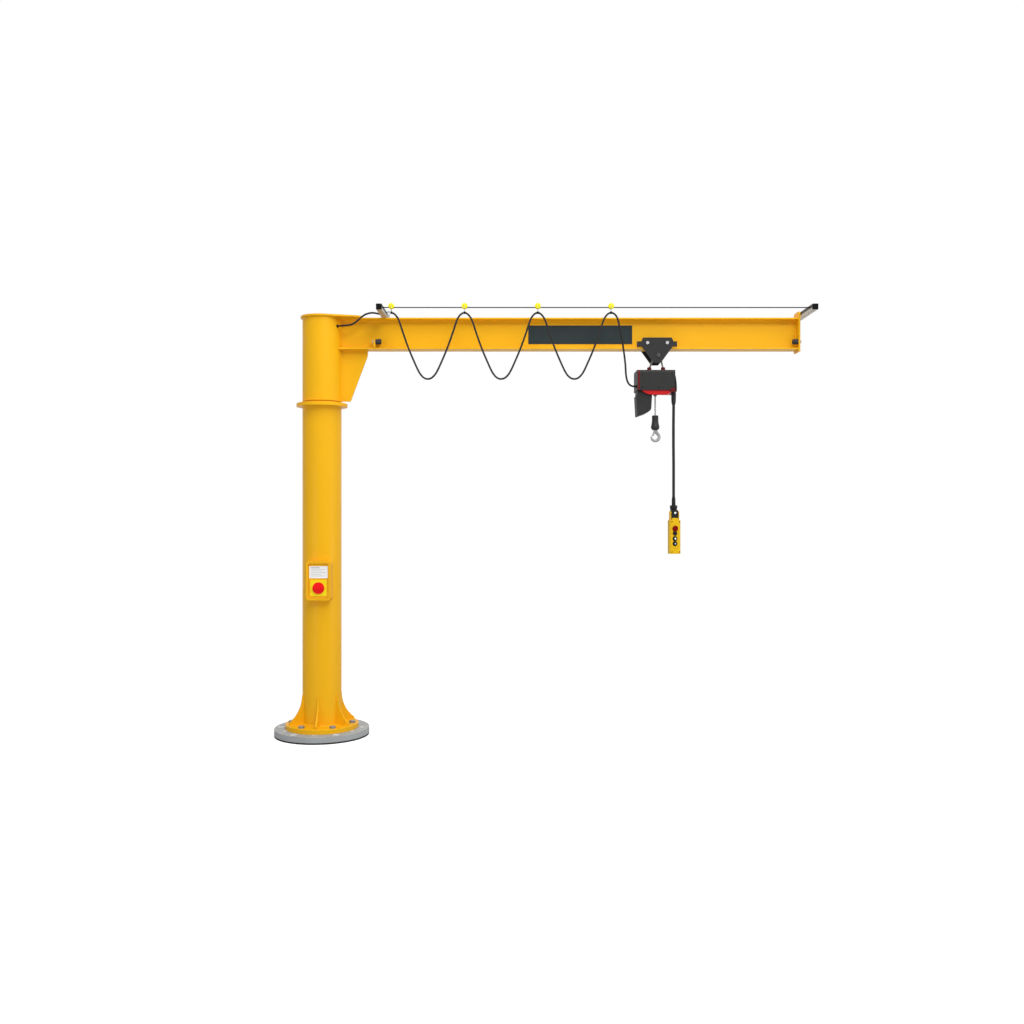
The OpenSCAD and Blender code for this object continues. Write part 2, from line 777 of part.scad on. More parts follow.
module button(r, rs, z, hgt) {
  pend() translate([key_side, -pend_d / 2, z]) rotate([90, 0, 0]) {
    cylinder(r = rs, h = hgt);
    translate([0, 0, -10]) cylinder(r = rs, h = 11);
    translate([0, 0, hgt - 3]) cylinder(r1 = r, r2 = r - 1.5, h = 3);
    translate([0, 0, hgt - 6]) cylinder(r = r, h = 3.1);
  }
}
module stop_button() {
  color([0.75, 0.04, 0.05]) button(20, 9, button_z[0], 13);
}
module key_start() {
  color([0.08, 0.08, 0.08]) button(12, 12, button_z[1], 9);
}
module key_up() {
  color([0.12, 0.12, 0.12]) button(12, 12, button_z[2], 9);
}
module key_down() {
  color([0.12, 0.12, 0.12]) button(12, 12, button_z[3], 9);
}

// ---------- load ----------
module load_chain() {
  color([0.62, 0.62, 0.64])
  translate([chain_x, 0, block_top + seat]) cylinder(r = 5.5, h = hoist_bot + 7 - block_top - seat, $fn = 24);
}

module hook_block() {
  color([0.17, 0.17, 0.18])
  translate([chain_x, 0, block_top]) rotate_extrude()
    polygon([[0, 0], [20, 0], [22.7, -3], [23, -41], [25, -57],
      [29.5, -77], [30, -89], [20, -103], [12.05, -103], [12.05, -91],
      [17.05, -91], [17.05, -79], [0, -79]]);
}

// the hook and its latch are drawn about the middle of the hook's mouth
module hook() {
  color([0.62, 0.63, 0.64])
  translate([chain_x, 0, hook_z]) difference() {
    union() {
      translate([0, 0, 46.5]) cylinder(r = 12, h = 16.5);
      translate([0, 0, 61.3]) cylinder(r = 17, h = 11);
      translate([0, 10, 0]) rotate([90, 0, 0]) linear_extrude(height = 20) difference() {
        union() {
          translate([2, -1]) circle(r = 37);
          polygon([[-14, 47], [12, 47], [31, 22], [-10, 17]]);
        }
        translate([-2, 0]) circle(r = 18.5);
        polygon([[-14, 13], [10, 14], [3, 27], [-4, 31], [-8, 29]]);
        polygon([[-60, 10], [-33, 10], [-20, 2], [-13.5, 13.5], [-11, 32],
          [-16, 39], [-60, 39]]);
      }
    }
    translate([-4, 20, 39]) rotate([90, 0, 0]) cylinder(r = 3 + run, h = 40);
  }
}

module hook_latch() {
  color([0.5, 0.51, 0.52])
  translate([chain_x, 0, hook_z]) {
    for (s = [-1, 1]) translate([0, s > 0 ? 13 : -10.5, 0]) rotate([90, 0, 0])
      linear_extrude(height = 2.5)
        polygon([[-9, 44], [0, 44.2], [3, 35], [-13.5, 6], [-21.5, 7], [-20, 15]]);
    translate([-4, 13, 39]) rotate([90, 0, 0]) cylinder(r = 3, h = 26);
    translate([0, 13, 0]) rotate([90, 0, 0]) linear_extrude(height = 26)
      polygon([[-20, 15], [-21.5, 7], [-18, 6.6], [-17, 14]]);
  }
}

floor_seal();
ground_plate();
foot();
column_tube();
collar();
pivot_post();
switch_box();
label_panel();
switch_plate();
switch_knob();
sleeve();
slew_bearings();
cap_plate();
jib_beam();
gusset_plate();
end_plate();
inner_stop();
buffers();
arm_inner();
arm_outer();
arm_caps();
arm_clip();
festoon_wire();
carrier_0();
sign_panel();
supply_cable();
loop_1();
carrier_1();
loop_2();
carrier_2();
loop_3();
carrier_3();
loop_4();
trolley_plate_front();
trolley_plate_back();
trolley_spindles();
trolley_wheels();
bail_pin();
bail();
bail_collars();
hoist_housing();
hoist_cover_left();
hoist_seam();
hoist_cover_right();
hoist_underside();
chain_bag();
control_relief();
control_cable();
pendant_neck();
pendant_guard();
pendant_body();
stop_button();
key_start();
key_up();
key_down();
load_chain();
hook_block();
hook();
hook_latch();
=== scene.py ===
"""Pillar jib crane with an electric chain hoist: looks, light and camera.

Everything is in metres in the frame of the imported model. Places come from the
boxes of the CAD nodes, or repeat the part's source where no box gives them.
The cables repeat the routes of the part's source.
"""

import json
import math

import bmesh
import bpy
from mathutils import Matrix, Vector


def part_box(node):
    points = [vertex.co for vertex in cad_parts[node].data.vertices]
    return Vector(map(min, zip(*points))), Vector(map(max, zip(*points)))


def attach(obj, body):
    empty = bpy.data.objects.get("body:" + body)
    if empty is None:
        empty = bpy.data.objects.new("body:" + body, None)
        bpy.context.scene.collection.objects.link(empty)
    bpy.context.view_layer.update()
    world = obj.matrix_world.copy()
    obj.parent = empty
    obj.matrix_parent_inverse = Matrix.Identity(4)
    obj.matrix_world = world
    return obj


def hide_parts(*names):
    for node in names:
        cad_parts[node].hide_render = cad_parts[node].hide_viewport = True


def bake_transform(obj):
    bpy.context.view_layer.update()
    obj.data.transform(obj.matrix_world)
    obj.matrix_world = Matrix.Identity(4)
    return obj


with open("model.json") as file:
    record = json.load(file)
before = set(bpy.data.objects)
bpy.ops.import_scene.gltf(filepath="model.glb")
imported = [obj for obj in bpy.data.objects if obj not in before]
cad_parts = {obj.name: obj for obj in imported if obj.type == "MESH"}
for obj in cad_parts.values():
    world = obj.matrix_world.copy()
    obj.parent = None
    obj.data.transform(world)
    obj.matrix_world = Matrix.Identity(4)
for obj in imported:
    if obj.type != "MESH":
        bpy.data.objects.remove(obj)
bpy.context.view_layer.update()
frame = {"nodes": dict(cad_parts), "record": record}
NODES = frame["nodes"]
RECORD = frame["record"]
MM = 0.001

# ---------------------------------------------------------------- sizes from the model's boxes


def least(node):
    """The corner of a node's box with the least x, y and z."""
    return Vector(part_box(node)[0])


def most(node):
    """The corner of a node's box with the greatest x, y and z."""
    return Vector(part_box(node)[1])


GROUND_BOTTOM = least("ground_plate").z
GROUND_TOP = most("ground_plate").z
FOOT_TOP = most("foot").z
TUBE_TOP = most("column_tube").z
TUBE_R = (most("column_tube").x - least("column_tube").x) / 2
SLEEVE_BOTTOM = least("sleeve").z
LABEL_LEFT = least("label_panel").x
LABEL_WIDTH = most("label_panel").x - LABEL_LEFT
LABEL_FRONT = least("label_panel").y
LABEL_TOP = most("label_panel").z
BEAM_BOTTOM = least("jib_beam").z
BEAM_TOP = most("jib_beam").z
END_INSIDE = least("end_plate").x
END_OUTSIDE = most("end_plate").x
STOP_INSIDE = least("inner_stop").x
BUFFER_Z = (least("buffers").z + most("buffers").z) / 2
PIN_X = (least("bail_pin").x + most("bail_pin").x) / 2
PIN_Z = (least("bail_pin").z + most("bail_pin").z) / 2
HOIST_LEFT = least("hoist_cover_left").x
HOIST_FRONT = least("hoist_housing").y
HOIST_BOTTOM = least("hoist_housing").z
UNDERSIDE_BOTTOM = least("hoist_underside").z
CHAIN_X = (least("load_chain").x + most("load_chain").x) / 2
CHAIN_BOTTOM = least("load_chain").z
CHAIN_TOP = most("load_chain").z
HOOK_Z = most("hook_block").z - 152 * MM  # the middle of the hook's bowl
PENDANT_BOTTOM = least("pendant_body").z
PENDANT_TOP = most("pendant_body").z - 14 * MM  # its shoulders, under the raised middle

# ---------------------------------------------------------------- sizes that repeat the part's source

FLANGE_TOP = GROUND_TOP + 32 * MM
FOOT_BOLTS_R = 215 * MM
FOOT_GUSSET_HALF = 6  # half its thickness, in millimetres
GUSSET_WELD_START = 142 * MM
GUSSET_WELD_END = 238 * MM
GUSSETS_START = math.radians(30)
GROUND_HOLES = (  # radius of the circle, radius of a hole, angle of the first
    (292 * MM, 26 * MM, 0.0),
    (270 * MM, 20 * MM, math.radians(30)),
)
BEAM_FLANGE_T = 10.5 * MM
BEAM_WEB_T = 6 * MM
SLEEVE_HOLE_TURN = math.radians(-28.4)
SLEEVE_HOLE_Z = BEAM_TOP - 62 * MM
BUFFER_Y = 42.5 * MM
WIRE_Y = -257 * MM
WIRE_Z = BEAM_TOP + 30 * MM
LOOP_Z = BEAM_TOP - 6 * MM
CARRIER_X = [523 * MM, 1024.5 * MM, 1526 * MM, 2027.5 * MM]
CARRIER_BODIES = ["jib", "cable_carrier_1", "cable_carrier_2", "cable_carrier_3"]
CABLE_D = 13 * MM
CONTROL_D = 20 * MM
PENDANT_X = 2487.5 * MM
PENDANT_Y = -58 * MM
PENDANT_TURN = math.radians(12)
PENDANT_DEPTH = 62 * MM

# ---------------------------------------------------------------- camera

camera = bpy.data.objects.new("camera", bpy.data.cameras.new("camera"))
bpy.context.scene.collection.objects.link(camera)
camera.data.lens = 35
camera.data.sensor_width = 36
camera.data.clip_end = 100
camera.location = (1.349, -7.0724, 1.578)
camera.rotation_euler = (math.radians(90), 0, 0)
bpy.context.scene.camera = camera
bpy.context.scene.view_settings.view_transform = "Standard"

# ---------------------------------------------------------------- materials

# A Mix node has sockets for every kind of data. These are the ones of a colour mix.
MIX_SHARE = 0
MIX_FIRST = 6
MIX_SECOND = 7
MIX_RESULT = 2


class Tree:
    """Adds and links the nodes of one material or world."""

    def __init__(self, tree):
        self.tree = tree

    def node(self, kind, **settings):
        made = self.tree.nodes.new(kind)
        for key, value in settings.items():
            setattr(made, key, value)
        return made

    def feed(self, socket, value):
        """Gives a socket a link, a colour or a number."""
        if isinstance(value, bpy.types.NodeSocket):
            self.tree.links.new(value, socket)
        elif isinstance(value, tuple):
            socket.default_value = (*value, 1)
        else:
            socket.default_value = value

    def maths(self, operation, first, second):
        made = self.node("ShaderNodeMath", operation=operation)
        self.feed(made.inputs[0], first)
        self.feed(made.inputs[1], second)
        return made.outputs[0]

    def spread(self, value, low, high, start=0.3, end=0.7, kind="LINEAR"):
        """value from start to end becomes low to high."""
        ranged = self.node("ShaderNodeMapRange", interpolation_type=kind)
        self.feed(ranged.inputs["From Min"], start)
        self.feed(ranged.inputs["From Max"], end)
        self.feed(ranged.inputs["To Min"], low)
        self.feed(ranged.inputs["To Max"], high)
        self.feed(ranged.inputs["Value"], value)
        return ranged.outputs["Result"]


class Look(Tree):
    """Builds one node-based material step by step."""

    def __init__(self, name):
        self.material = bpy.data.materials.new(name)
        self.material.use_nodes = True
        super().__init__(self.material.node_tree)
        self.shader = next(n for n in self.tree.nodes if n.type == "BSDF_PRINCIPLED")
        self.place = self.node("ShaderNodeTexCoord").outputs["Object"]

    def set(self, **inputs):
        """Feeds the shader's inputs. Base_Color stands for its input "Base Color"."""
        for name, value in inputs.items():
            self.feed(self.shader.inputs[name.replace("_", " ")], value)

    def noise(self, scale, detail=3.0, stretch=(1, 1, 1)):
        mapping = self.node("ShaderNodeMapping")
        mapping.inputs["Scale"].default_value = stretch
        self.feed(mapping.inputs["Vector"], self.place)
        texture = self.node("ShaderNodeTexNoise")
        self.feed(texture.inputs["Scale"], scale)
        self.feed(texture.inputs["Detail"], detail)
        self.feed(texture.inputs["Vector"], mapping.outputs[0])
        return texture.outputs["Fac"]

    def mix(self, share, first, second):
        mixed = self.node("ShaderNodeMix", data_type="RGBA")
        self.feed(mixed.inputs[MIX_SHARE], share)
        self.feed(mixed.inputs[MIX_FIRST], first)
        self.feed(mixed.inputs[MIX_SECOND], second)
        return mixed.outputs[MIX_RESULT]

    def rounded(self, radius):
        """Normals that round the edges off, and how near each point is to an edge."""
        bevel = self.node("ShaderNodeBevel", samples=4)
        self.feed(bevel.inputs["Radius"], radius)
        dot = self.node("ShaderNodeVectorMath", operation="DOT_PRODUCT")
        self.feed(dot.inputs[0], bevel.outputs["Normal"])
        self.feed(dot.inputs[1], self.node("ShaderNodeNewGeometry").outputs["Normal"])
        return bevel.outputs["Normal"], self.spread(dot.outputs["Value"], 1.0, 0.0, 0.86, 0.985)

    def bump(self, height, strength, distance, normal):
        """Adds small hills to normals."""
        made = self.node("ShaderNodeBump")
        self.feed(made.inputs["Strength"], strength)
        self.feed(made.inputs["Distance"], distance)
        self.feed(made.inputs["Height"], height)
        self.feed(made.inputs["Normal"], normal)
        return made.outputs["Normal"]


def shade(colour, factor):
    return tuple(min(1.0, c * factor) for c in colour)


def surface(
    name,
    colour,
    roughness,
    metallic=0.0,
    vary=0.05,
    patch=6.0,
    grain=260.0,
    grain_depth=0.15 * MM,
    grain_strength=0.25,
    stretch=(1, 1, 1),
    edge=1.0 * MM,
    worn=None,
    wear=0.35,
    coat=0.0,
    specular=0.5,
):
    """A coat of paint, plastic, rubber or metal with soft colour patches, a fine grain,
    rounded edges and a little wear along them."""
    look = Look(name)
    patches = look.spread(look.noise(patch), 0, 1)
    base = look.mix(patches, shade(colour, 1 - vary), shade(colour, 1 + vary))
    specks = look.spread(look.noise(grain, 2, stretch), 0, 0.12)
    base = look.mix(specks, base, shade(colour, 0.75))
    normal, near_edge = look.rounded(edge)
    broken = look.spread(look.noise(55.0, 4), 0, 1, 0.45, 0.6)
    rubbed = look.maths("MULTIPLY", look.maths("MULTIPLY", near_edge, broken), wear)
    base = look.mix(rubbed, base, worn or shade(colour, 1.25))
    rough = look.spread(look.noise(patch * 5, 4), max(0.03, roughness - 0.06), roughness + 0.06)
    look.set(
        Base_Color=base,
        Roughness=rough,
        Metallic=metallic,
        Coat_Weight=coat,
        Coat_Roughness=0.15,
        Specular_IOR_Level=specular,
        Normal=look.bump(look.noise(grain, 3, stretch), grain_strength, grain_depth, normal),
    )
    return look.material


PAINT = dict(
    roughness=0.4, vary=0.02, patch=1.6, grain=420, grain_depth=0.1 * MM,
    worn=(0.95, 0.62, 0.08), wear=0.2, specular=0.18,
)
DARK_CAST = dict(
    roughness=0.5, vary=0.08, patch=18, grain=700, grain_depth=0.2 * MM,
    worn=(0.14, 0.14, 0.145), specular=0.18,
)
PLASTIC = dict(
    roughness=0.45, vary=0.06, patch=25, grain=900, grain_depth=0.12 * MM, wear=0.12, specular=0.22,
)

LOOKS = {
    "yellow_paint": dict(PAINT, colour=(0.9, 0.47, 0.006), edge=2 * MM),
    "box_yellow": dict(PAINT, colour=(0.9, 0.46, 0.006), roughness=0.35, edge=1.5 * MM),
    "ground_grey": dict(
        colour=(0.37, 0.39, 0.4), roughness=0.5, specular=0.35, vary=0.06, patch=5, grain=350,
        worn=(0.55, 0.57, 0.58), edge=2 * MM,
    ),
    "seal_rubber": dict(
        colour=(0.02, 0.02, 0.022), roughness=0.85, vary=0.2, patch=20, specular=0.3,
    ),
    "dark_steel": dict(
        colour=(0.045, 0.045, 0.047), roughness=0.42, metallic=0.4, worn=(0.25, 0.25, 0.26),
    ),
    "label_white": dict(PLASTIC, colour=(0.93, 0.95, 0.96), vary=0.02, edge=0.4 * MM),
    "switch_lemon": dict(PLASTIC, colour=(0.98, 0.78, 0.006), vary=0.02, edge=0.5 * MM),
    "knob_red": dict(
        PLASTIC, colour=(0.9, 0.006, 0.008), roughness=0.3, vary=0.04, specular=0.15,
    ),
    "bearing_steel": dict(
        colour=(0.45, 0.45, 0.46), roughness=0.3, metallic=0.9, grain=300, stretch=(1, 1, 8),
    ),
    "buffer_rubber": dict(
        colour=(0.03, 0.03, 0.034), roughness=0.7, vary=0.12, patch=40, edge=2 * MM, specular=0.35,
    ),
    "cap_black": dict(PLASTIC, colour=(0.004, 0.004, 0.0045), roughness=0.6, specular=0.08),
    "clip_zinc": dict(
        colour=(0.45, 0.46, 0.47), roughness=0.42, metallic=0.3, vary=0.05, patch=60,
    ),
    "wire_steel": dict(
        colour=(0.01, 0.01, 0.011), roughness=0.6, grain=500, stretch=(0.6, 3, 3),
        grain_strength=0.6, specular=0.1,
    ),
    "carrier_yellow": dict(PLASTIC, colour=(0.95, 0.84, 0.008), roughness=0.4, vary=0.03),
    "sign_slate": dict(
        colour=(0.03, 0.042, 0.046), roughness=0.5, specular=0.08, vary=0.08, patch=7, grain=500,
        edge=0.5 * MM,
    ),
    "cable_black": dict(
        colour=(0.012, 0.012, 0.013), roughness=0.55, vary=0.15, patch=30, grain=600,
        grain_strength=0.35, edge=0.3 * MM, specular=0.25,
    ),
    "trolley_black": dict(DARK_CAST, colour=(0.025, 0.025, 0.026), edge=1.2 * MM),
    "bright_steel": dict(
        colour=(0.46, 0.46, 0.465), roughness=0.42, metallic=0.35, vary=0.05, patch=50, grain=300,
    ),
    "wheel_iron": dict(
        colour=(0.13, 0.13, 0.135), roughness=0.45, metallic=0.7, vary=0.12, patch=40,
    ),
    # dark_red: the hoist's dark red seam, and painted shade on the lower right corner of its red
    # shell.
    "dark_red": dict(
        DARK_CAST, colour=(0.12, 0.002, 0.005), worn=(0.3, 0.02, 0.03), specular=0.2,
    ),
    "hoist_grey": dict(DARK_CAST, colour=(0.026, 0.026, 0.026), roughness=0.55, edge=3 * MM),
    "hoist_red": dict(
        PLASTIC, colour=(0.62, 0.004, 0.008), roughness=0.25, coat=0.15, edge=2 * MM,
    ),
    "bag_black": dict(
        colour=(0.026, 0.026, 0.026), roughness=0.6, specular=0.18, vary=0.1, patch=14, grain=650,
        grain_strength=0.4, edge=4 * MM,
    ),
    "pendant_black": dict(PLASTIC, colour=(0.007, 0.007, 0.0075), roughness=0.45),
    "pendant_yellow": dict(
        PLASTIC, colour=(0.86, 0.52, 0.004), roughness=0.42, vary=0.04, edge=3 * MM, wear=0.05,
    ),
    "stop_red": dict(PLASTIC, colour=(0.21, 0.001, 0.002), roughness=0.5, vary=0.05, specular=0.08),
    "chain_steel": dict(
        colour=(0.38, 0.38, 0.385), roughness=0.42, metallic=0.4, vary=0.15, patch=70,
    ),
    "block_black": dict(DARK_CAST, colour=(0.02, 0.02, 0.021), roughness=0.5, specular=0.3),
    "hook_steel": dict(
        colour=(0.36, 0.36, 0.37), roughness=0.42, metallic=0.3, vary=0.1, patch=45, edge=2 * MM,
    ),
    "bail_steel": dict(
        colour=(0.27, 0.265, 0.26), roughness=0.45, metallic=0.3, vary=0.1, patch=50, grain=400,
    ),
}
MATERIALS = {slot: surface(slot, **values) for slot, values in LOOKS.items()}


def galvanised():
    """The cable arms: zinc with its crystal pattern. Their sides that face along the jib carry
    painted shade: near black above a height 15 mm over the beam's top, zinc below it."""
    look = Look("galvanised")
    cells = look.node("ShaderNodeTexVoronoi")
    look.feed(cells.inputs["Scale"], 140)
    look.feed(cells.inputs["Vector"], look.place)
    crystals = look.spread(cells.outputs["Color"], 0, 1, 0, 1)
    zinc = look.mix(crystals, (0.4, 0.38, 0.33), (0.62, 0.6, 0.53))
    normal, near_edge = look.rounded(0.8 * MM)
    facing = look.node("ShaderNodeSeparateXYZ")
    look.feed(facing.inputs[0], look.node("ShaderNodeNewGeometry").outputs["Normal"])
    shade_sides = look.spread(look.maths("ABSOLUTE", facing.outputs[0], 0), 0, 1, 0.6, 0.8)
    height = look.node("ShaderNodeSeparateXYZ")
    look.feed(height.inputs[0], look.place)
    to_arm = NODES["arm_inner"].matrix_world.inverted()
    rail_z = (to_arm @ Vector((0, 0, BEAM_TOP + 15 * MM))).z
    shade_upper = look.spread(height.outputs[2], 0, 1, rail_z - 1 * MM, rail_z + 1 * MM)
    # Painted shade: the sides that face along the jib are near black above that height.
    base = look.mix(look.maths("MULTIPLY", shade_sides, shade_upper), zinc, (0.006, 0.006, 0.0065))
    look.set(
        Base_Color=look.mix(look.maths("MULTIPLY", near_edge, 0.25), base, (0.6, 0.6, 0.6)),
        Roughness=look.spread(look.noise(40), 0.35, 0.5),
        Metallic=0.3,
        Specular_IOR_Level=0.25,
        Normal=look.bump(look.noise(400), 0.2, 0.1 * MM, normal),
    )
    return look.material


MATERIALS["galvanised"] = galvanised()

for part in RECORD["subparts"]:
    target = NODES.get(part["node"])
    if target is None:
        continue
    material = MATERIALS[part["material_slot"]]
    if not target.material_slots:
        target.data.materials.append(material)
    for holder in target.material_slots:
        holder.link = "OBJECT"
        holder.material = material

# ---------------------------------------------------------------- mesh helpers

SHARP = math.radians(38)  # edges that turn by more stay sharp


def circle(sides, radius):
    """Points evenly round a circle in the XY plane."""
    turns = [2 * math.pi * k / sides for k in range(sides)]
    return [(radius * math.cos(a), radius * math.sin(a)) for a in turns]


class Piece:
    """Collects shells in one mesh, then makes it an object on a body."""

    def __init__(self, name, slot):
        self.name = name
        self.slot = slot
        self.points = []
        self.faces = []

    def add(self, points, faces, matrix=None):
        start = len(self.points)
        self.points += [tuple(matrix @ Vector(p)) if matrix else tuple(p) for p in points]
        self.faces += [tuple(start + i for i in f) for f in faces]

    def lathe(self, profile, matrix, sides=32):
        """Turns (radius, height) pairs round the matrix's Z axis. A radius of 0 closes an end,
        and a profile that ends where it starts makes a ring."""
        points = []
        rings = []
        for radius, height in profile:
            spots = circle(sides, radius) if radius else [(0, 0)]
            rings.append([len(points) + k for k in range(len(spots))])
            points += [(x, y, height) for x, y in spots]
        if profile[0] == profile[-1]:
            rings[-1] = rings[0]
            points = points[:-sides]
        faces = []
        for one, two in zip(rings, rings[1:]):
            for k in range(sides):
                n = (k + 1) % sides
                if len(one) == 1:
                    faces.append((one[0], two[k], two[n]))
                elif len(two) == 1:
                    faces.append((one[k], two[0], one[n]))
                else:
                    faces.append((one[k], two[k], two[n], one[n]))
        self.add(points, faces, matrix)

    def tube(self, path, radius, sides=12, closed=False):
        """Sweeps a round section along a path. radius is a number, or a pair per point."""
        path = [Vector(p) for p in path]
        count = len(path)
        points = []
        up = None
        for i, here in enumerate(path):
            before = path[(i - 1) % count] if closed else path[max(i - 1, 0)]
            after = path[(i + 1) % count] if closed else path[min(i + 1, count - 1)]
            ahead = (after - before).normalized()
            if up is None:
                up = Vector((0, 1, 0)) if abs(ahead.y) < 0.9 else Vector((1, 0, 0))
            across = ahead.cross(up).normalized()
            up = across.cross(ahead).normalized()
            wide, high = radius[i] if isinstance(radius, list) else (radius, radius)
            points += [here + across * (wide * c) + up * (high * s) for c, s in circle(sides, 1)]
        faces = []
        for i in range(count if closed else count - 1):
            j = (i + 1) % count
            for k in range(sides):
                n = (k + 1) % sides
                faces.append((i * sides + k, j * sides + k, j * sides + n, i * sides + n))
        if not closed:
            faces.append(tuple(range(sides)))
            faces.append(tuple(reversed(range((count - 1) * sides, count * sides))))
        self.add(points, faces)

    def prism(self, outline, low, high, matrix):
        """Lifts a flat outline from height low to height high, with the matrix's Z up."""
        n = len(outline)
        points = [(x, y, z) for z in (low, high) for x, y in outline]
        faces = [tuple(reversed(range(n))), tuple(range(n, 2 * n))]
        faces += [(k, (k + 1) % n, n + (k + 1) % n, n + k) for k in range(n)]
        self.add(points, faces, matrix)

    def done(self, body=None, bevel=0.0, smooth=True):
        """Makes the object and puts it on its body."""
        mesh = bpy.data.meshes.new(self.name)
        mesh.from_pydata(self.points, [], self.faces)
        work = bmesh.new()
        work.from_mesh(mesh)
        bmesh.ops.recalc_face_normals(work, faces=work.faces)
        work.to_mesh(mesh)
        work.free()
        made = bpy.data.objects.new(self.name, mesh)
        bpy.context.scene.collection.objects.link(made)
        mesh.materials.append(MATERIALS[self.slot])
        if smooth:
            mesh.shade_smooth()
            mesh.set_sharp_from_angle(angle=SHARP)
        if bevel:
            cut = made.modifiers.new("bevel", "BEVEL")
            cut.width = bevel
            cut.segments = 1
            cut.limit_method = "ANGLE"
            cut.angle_limit = SHARP
        if body:
            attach(made, body)
        return made


def mm(*rows):
    """Rows of millimetres in metres."""
    return [tuple(value * MM for value in row) for row in rows]


def at(position, direction=(0, 0, 1), spin=0.0):
    """A matrix that puts local Z along direction at position."""
    turn = Vector((0, 0, 1)).rotation_difference(Vector(direction)).to_matrix().to_4x4()
    return Matrix.Translation(Vector(position)) @ turn @ Matrix.Rotation(spin, 4, "Z")


def outward(angle, radius, z=0.0):
    """A place at an angle round the pillar's axis."""
    return Vector((radius * math.cos(angle), radius * math.sin(angle), z))


def six_angles(start=0.0):
    """Angles of six places evenly round the pillar."""
    return [start + 2 * math.pi * i / 6 for i in range(6)]


def smooth_path(points, steps=4):
    """Catmull-Rom curve through the points."""
    points = [Vector(p) for p in points]
    ends = [2 * points[0] - points[1], *points, 2 * points[-1] - points[-2]]
    path = []
    for a, b, c, d in zip(ends, ends[1:], ends[2:], ends[3:]):
        for k in range(steps):
            t = k / steps
            point = 2 * b + (c - a) * t
            point += (2 * a - 5 * b + 4 * c - d) * t * t
            point += (3 * b - a - 3 * c + d) * t**3
            path.append(0.5 * point)
    return [*path, points[-1]]


def hex_bolt(piece, place, flats, height, washer_d, washer_t):
    """A hexagon head with a chamfered top, on its washer."""
    r = washer_d / 2
    soft = 0.6 * MM
    washer = [(0, 0), (r - soft, 0), (r, soft), (r, washer_t - soft), (r - soft, washer_t)]
    piece.lathe([*washer, (0, washer_t)], place)
    top = washer_t + height
    shoulder = top - flats * 0.08
    head = circle(6, flats / 2 / math.cos(math.pi / 6))
    piece.prism(head, washer_t, shoulder, place)
    cone = [(x, y, shoulder) for x, y in head] + [(x * 0.84, y * 0.84, top) for x, y in head]
    sides = [(k, (k + 1) % 6, 6 + (k + 1) % 6, 6 + k) for k in range(6)]
    piece.add(cone, [tuple(range(6, 12)), *sides], place)


# ---------------------------------------------------------------- cables, routes in millimetres

SUPPLY = [  # x and y, and z from the beam's top
    (118, -64, -62), (135, -73, -62), (155, -82, -62), (180, -90, -62), (203, -96, -61),
    (225, -101, -57), (245, -104, -48), (264, -106, -34), (283, -107, -18), (302, -108, -2),
    (322, -108, 11), (343, -108, 19), (366, -108, 23), (388, -108, 22), (409, -108, 18),
    (429, -108, 14),
]
LOOP = [  # x, z and y from the carrier's clamp
    (4, 0, 0), (14, -4, 2.5), (25, -12, 5.5), (36, -24.5, 8), (47, -42, 9), (60, -76, 9),
    (78, -132, 9), (120, -250, 9), (168, -362, 8), (188, -403, 7), (204, -427, 6),
    (221, -443.5, 4), (239, -452, 1.5), (262, -452, -1.5), (280, -443.5, -4), (297, -427, -6),
    (313, -403, -7), (333, -362, -8), (381, -250, -9), (423, -132, -9), (441, -76, -9),
    (454, -42, -9), (465, -24.5, -8), (476, -12, -5.5), (487, -4, -2.5), (497.5, 0, 0),
]
LAST = [  # x and y, and z from the beam's bottom
    (2031, -257, 216), (2041, -257, 213), (2052, -257, 206), (2062, -257, 195),
    (2070, -257, 180), (2077, -257, 158), (2085, -256, 124), (2094, -251, 84), (2103, -240, 38),
    (2115, -222, -21), (2125, -200, -72), (2134, -174, -122), (2139, -152, -157),
    (2144, -130, -190), (2151, -111, -217), (2162, -93, -240), (2177, -77, -255),
    (2195, -64, -262), (2212, -55, -263), (2229, -52, -263),
]
CONTROL = [  # x from the pendant's middle, and z from the hoist's bottom
    (0, -100), (0, -133), (-0.5, -183), (-1, -243), (-1, -313), (-1, -383), (-0.5, -453),
    (0, -523), (0, -593), (0, -653), (0, -703), (0, -747),
]
THREE_QUARTERS = 0.6736  # a blend is 3/4 complete at this share of its length


def cable(name, points, diameter, node, body=None, bend=None):
    """A cable on one body, or, when bend is given, on no body with its place baked into its mesh."""
    path = smooth_path(points)
    piece = Piece(name, "cable_black")
    piece.tube(path, diameter / 2, 14)
    made = piece.done(body)
    if bend:
        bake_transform(made)
    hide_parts(node)


cable(
    "supply_cord",
    [(x * MM, y * MM, BEAM_TOP + z * MM) for x, y, z in SUPPLY],
    CABLE_D,
    "supply_cable",
    "jib",
)
for k in range(3):
    start_x = CARRIER_X[k]
    end_x = CARRIER_X[k + 1]
    cable(
        f"festoon_loop_{k + 1}",
        [(start_x + x * MM, WIRE_Y + y * MM, LOOP_Z + z * MM) for x, z, y in LOOP],
        CABLE_D,
        f"loop_{k + 1}",
        bend=(
            CARRIER_BODIES[k],
            CARRIER_BODIES[k + 1],
            (start_x, WIRE_Y, LOOP_Z),
            (end_x, WIRE_Y, LOOP_Z),
        ),
    )
